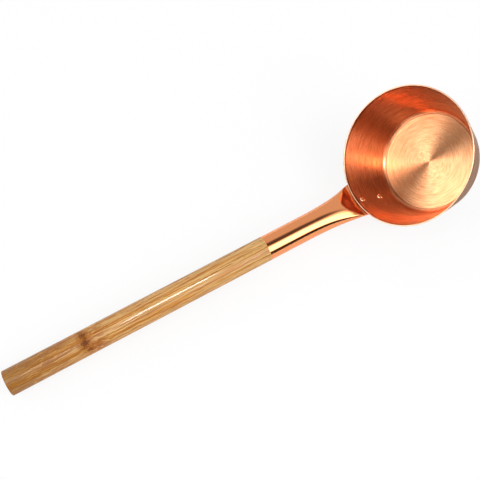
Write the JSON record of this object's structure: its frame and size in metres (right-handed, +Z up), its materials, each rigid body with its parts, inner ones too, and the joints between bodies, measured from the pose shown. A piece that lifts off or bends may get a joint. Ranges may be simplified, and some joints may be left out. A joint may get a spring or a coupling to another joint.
{
  "type": "sauna ladle",
  "caption": "Long-handled sauna ladle: flared copper-coloured sheet bowl riveted to a flattened tube socket with a bamboo grip.",
  "frame": {"origin": "on the surface that the ladle lies on, below the middle of its box", "axes": "+X along the ladle towards the bowl, +Y across it, +Z up from the surface that it lies on"},
  "size_m": [0.4194, 0.1138, 0.1022],
  "materials": {
    "brushed_copper": "satin",
    "polished_copper": "polished",
    "bamboo": "satin",
    "rivet_metal": "satin"
  },
  "bodies": {
    "root": {"bowl": "brushed_copper", "handle_socket": "polished_copper", "bamboo_grip": "bamboo", "rivet_upper": "rivet_metal", "rivet_lower": "rivet_metal"}
  },
  "joints": []
}
